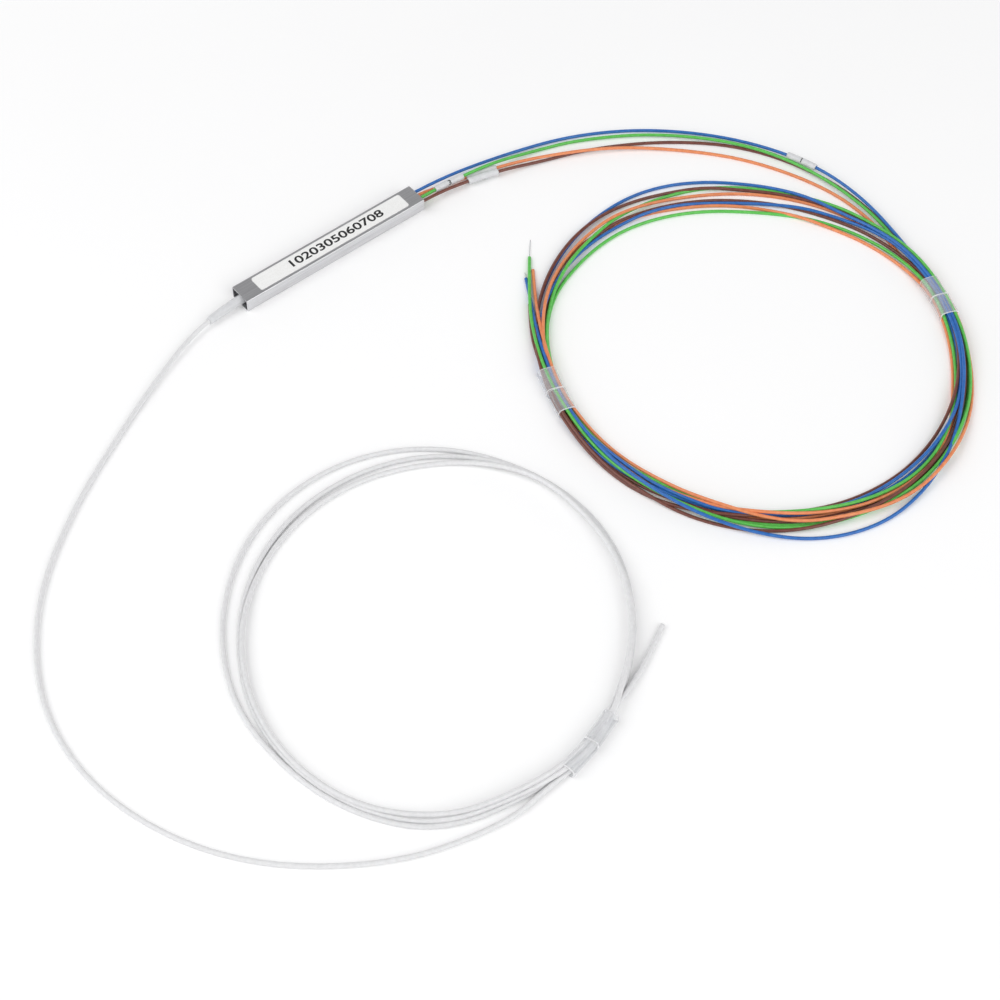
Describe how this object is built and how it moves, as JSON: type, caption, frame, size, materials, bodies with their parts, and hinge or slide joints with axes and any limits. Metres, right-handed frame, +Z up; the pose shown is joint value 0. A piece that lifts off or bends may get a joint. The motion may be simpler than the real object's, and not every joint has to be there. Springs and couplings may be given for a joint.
{
  "type": "plc fibre splitter",
  "caption": "Slim steel-tube optical splitter with a coiled white input tube, coiled coloured output tubes, marker sleeves and clear spiral wrap.",
  "frame": {"origin": "centre of the housing's underside", "axes": "+X along the housing towards the output tubes, +Z up"},
  "size_m": [0.2689, 0.1713, 0.0042],
  "materials": {
    "housing_steel": "fine brushed stainless steel",
    "label_paper": "white printed label",
    "chip_silicon": "polished silicon with a silica layer",
    "array_glass": "polished glass",
    "fibre_coating": "clear acrylate coating on glass fibre",
    "potting_resin": "dark potting resin",
    "silicone": "soft white silicone",
    "clear_wrap": "frosted translucent spiral wrap",
    "sleeve_white": "white marker sleeve",
    "tube_white": "smooth extruded tube",
    "tube_mixed": "smooth extruded tubes in four colours",
    "tube_blue": "smooth extruded tube",
    "tube_orange": "smooth extruded tube",
    "tube_green": "smooth extruded tube",
    "tube_brown": "smooth extruded tube"
  },
  "bodies": {
    "root": {"chip_bed": "silicone", "chip_lid_input": "array_glass", "chip_lid_output": "array_glass", "housing_tube": "housing_steel", "input_array_base": "array_glass", "input_array_lid": "array_glass", "input_band": "clear_wrap", "input_coil": "tube_white", "input_fibre": "fibre_coating", "input_lead": "tube_white", "input_plug": "potting_resin", "input_sleeve": "sleeve_white", "input_tail": "tube_white", "label": "label_paper", "marker_sleeve_1": "sleeve_white", "marker_sleeve_2": "sleeve_white", "marker_sleeve_3": "sleeve_white", "marker_sleeve_4": "sleeve_white", "output_1_bare_tip": "fibre_coating", "output_1_lead": "tube_blue", "output_1_tail": "tube_blue", "output_2_lead": "tube_orange", "output_2_tail": "tube_orange", "output_3_bare_tip": "fibre_coating", "output_3_lead": "tube_green", "output_3_tail": "tube_green", "output_4_lead": "tube_brown", "output_4_tail": "tube_brown", "output_array_base": "array_glass", "output_array_lid": "array_glass", "output_band_left": "clear_wrap", "output_band_right": "clear_wrap", "output_coil": "tube_mixed", "output_fibre_1": "fibre_coating", "output_fibre_2": "fibre_coating", "output_fibre_3": "fibre_coating", "output_fibre_4": "fibre_coating", "output_plug": "potting_resin", "ribbon_matrix": "fibre_coating", "waveguide_chip": "chip_silicon"}
  },
  "joints": []
}
